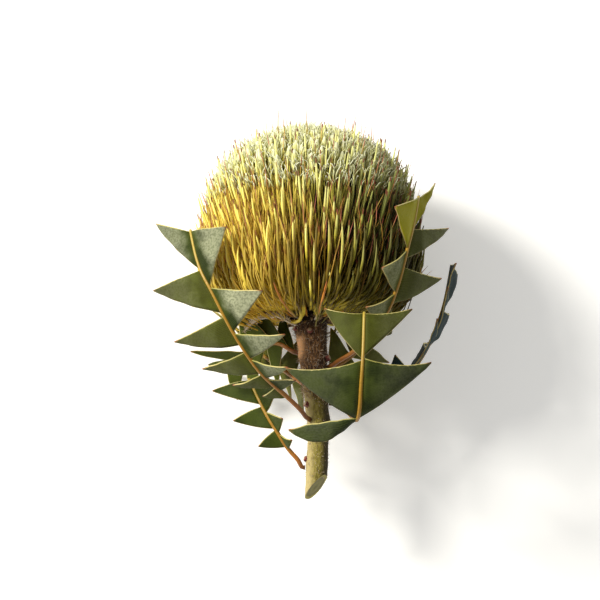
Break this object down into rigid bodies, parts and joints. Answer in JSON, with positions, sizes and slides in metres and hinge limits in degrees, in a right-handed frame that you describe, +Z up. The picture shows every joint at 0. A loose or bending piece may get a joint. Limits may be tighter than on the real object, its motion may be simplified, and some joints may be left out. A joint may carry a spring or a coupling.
{
  "type": "banksia flower stem",
  "caption": "Cut birds nest banksia lying on its side: a dome-shaped yellow flower head of packed upright florets on a short woody stem with saw-cut leaves.",
  "frame": {"origin": "centre of the bounding box's bottom, on the surface that the flower lies on", "axes": "+Y along the stem from its cut end towards the bloom, +Z up, away from the surface, on the flower's front"},
  "size_m": [0.1286, 0.1582, 0.0951],
  "materials": {
    "florets": "matte downy florets, pale lemon where lit, golden to olive lower down, greyish white on the crown",
    "bark": "rough hairy bark, brown near the bloom and yellow-green towards the cut",
    "leaf_green": "leathery dark green blade with fine veins, a thin pale margin and an orange-yellow rib"
  },
  "bodies": {
    "root": {"bloom": "florets", "stem": "bark", "leaf_left_front": "leaf_green", "leaf_left_low": "leaf_green", "leaf_left_mid": "leaf_green", "leaf_left_back": "leaf_green", "leaf_right_front": "leaf_green", "leaf_right_side": "leaf_green", "leaf_right_far": "leaf_green", "leaf_right_back": "leaf_green"}
  },
  "joints": []
}
